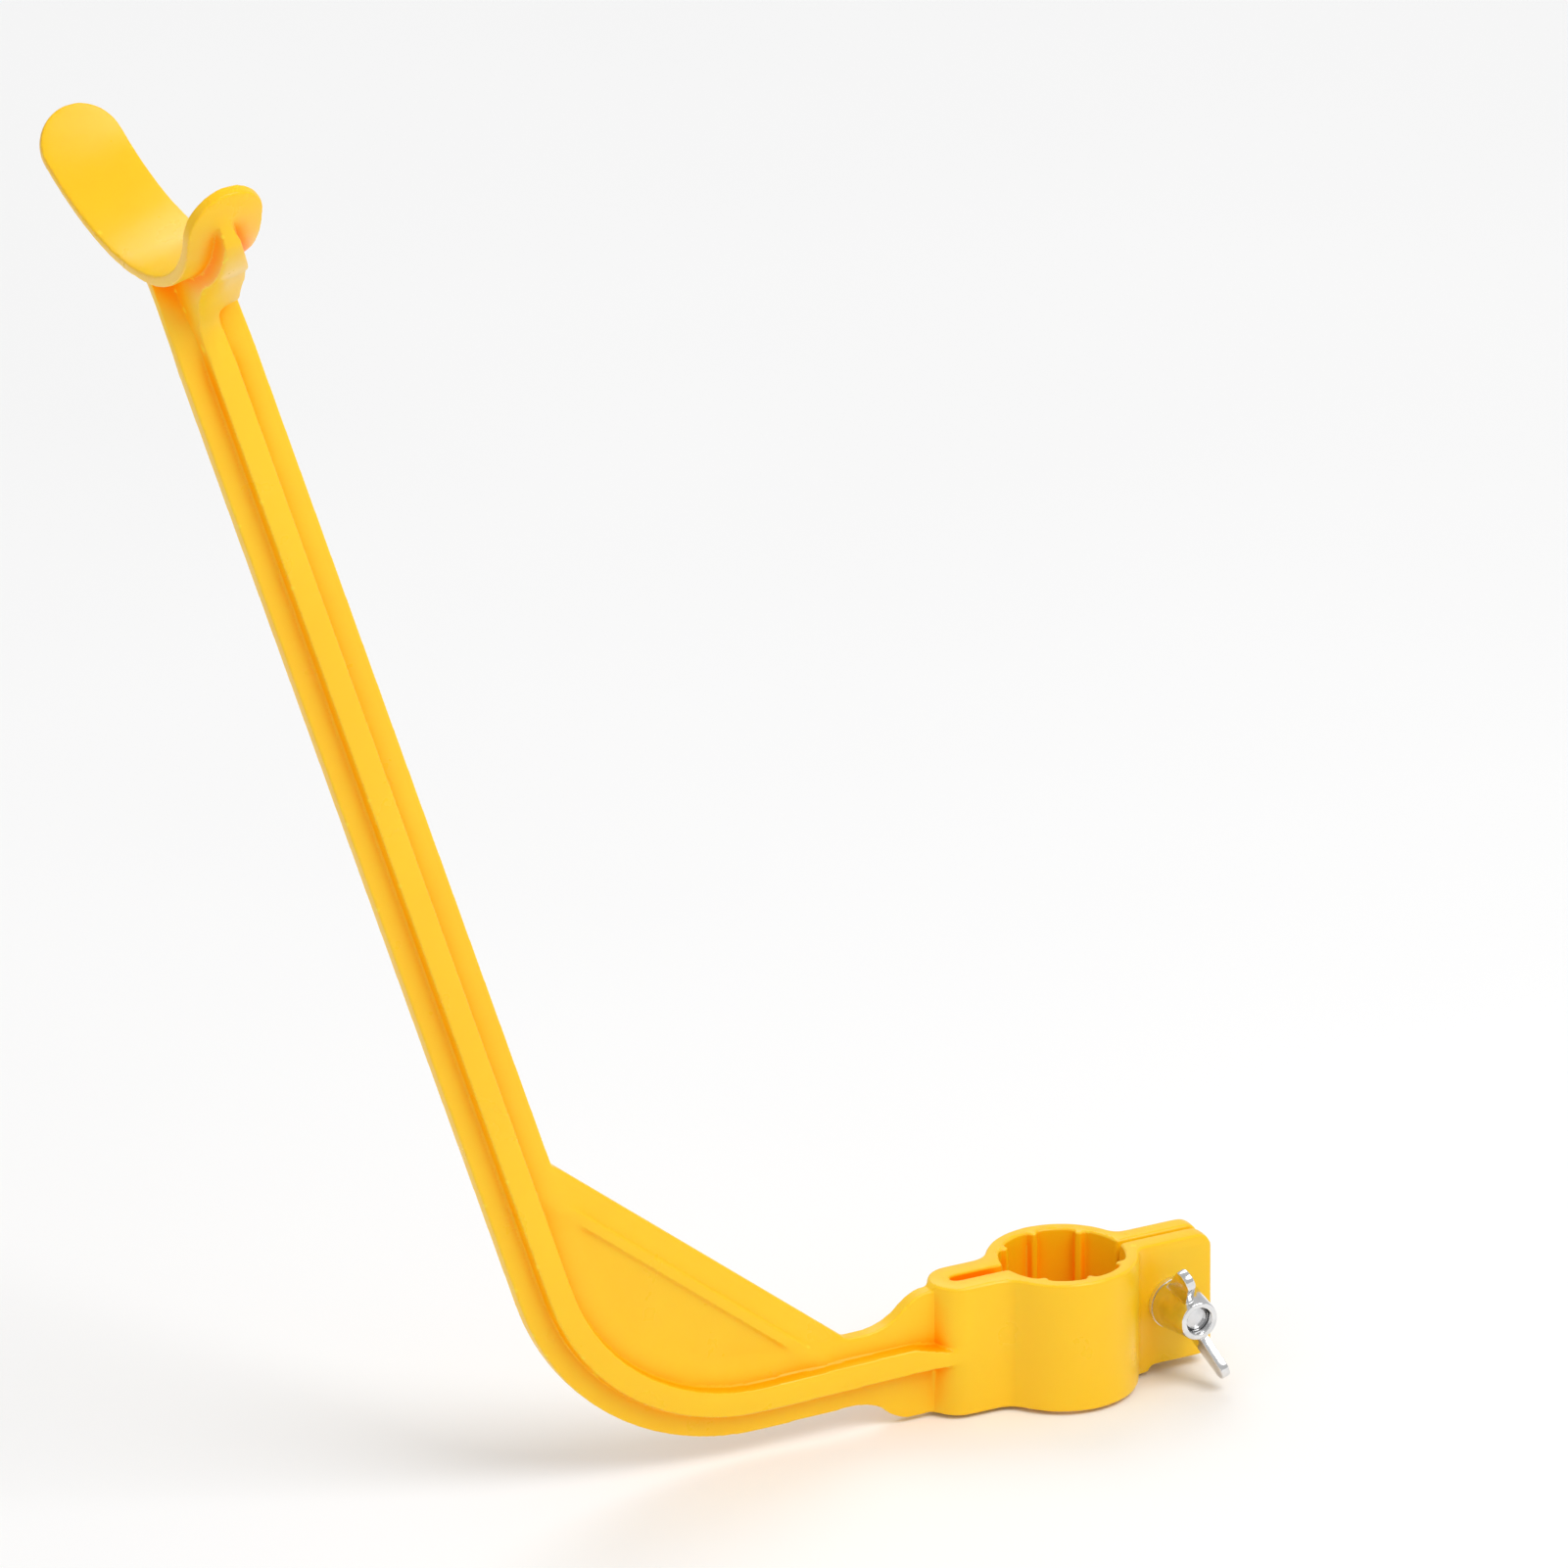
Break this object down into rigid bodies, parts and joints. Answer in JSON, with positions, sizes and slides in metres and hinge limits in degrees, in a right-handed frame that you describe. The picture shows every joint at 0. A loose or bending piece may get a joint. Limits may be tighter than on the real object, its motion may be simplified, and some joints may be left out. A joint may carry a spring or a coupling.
{
  "type": "golf swing guide",
  "caption": "Moulded swing guide: a split clamp with bolt and wing nut for a club's grip, a cross-ribbed arm bent upwards with a gusset in the bend, and a curved forearm saddle at its end.",
  "frame": {"origin": "centre of the clamp bore, at mid height", "axes": "+Z along the bore towards the saddle, +X towards the clamp's ears, -X towards the arm; the bolt lies along Y with the wing nut on the -Y side"},
  "size_m": [0.2252, 0.0706, 0.2893],
  "materials": {
    "moulding": "semi-gloss yellow injection moulding",
    "bolt_plate": "bright zinc plate",
    "nut_plate": "bright nickel plate"
  },
  "bodies": {
    "guide_arm": {"guide_arm": "moulding", "clamp_bolt": "bolt_plate"},
    "clamp_jaw": {"clamp_jaw": "moulding"},
    "plain_washer": {"plain_washer": "bolt_plate"},
    "wing_nut": {"wing_nut": "nut_plate"}
  },
  "joints": [
    {"name": "nut_travel", "type": "slide", "parent": "guide_arm", "child": "plain_washer", "axis": [0, -1, 0], "range_m": [0, 0.00401]},
    {"name": "nut_turn", "type": "hinge", "parent": "plain_washer", "child": "wing_nut", "pos_m": [0.0208, -0.0054, 0.0007], "axis": [0, -1, 0], "range_deg": [0, 1800]},
    {"name": "jaw_open", "type": "hinge", "parent": "guide_arm", "child": "clamp_jaw", "pos_m": [-0.01053, -0.00737, 0], "axis": [0, 0, -1], "range_deg": [0, 6.09]}
  ],
  "couplings": [
    {"joint": "nut_travel", "follows": "nut_turn", "m_per_rad": 0.00012732},
    {"joint": "jaw_open", "follows": "nut_turn", "ratio": 0.0033728}
  ]
}
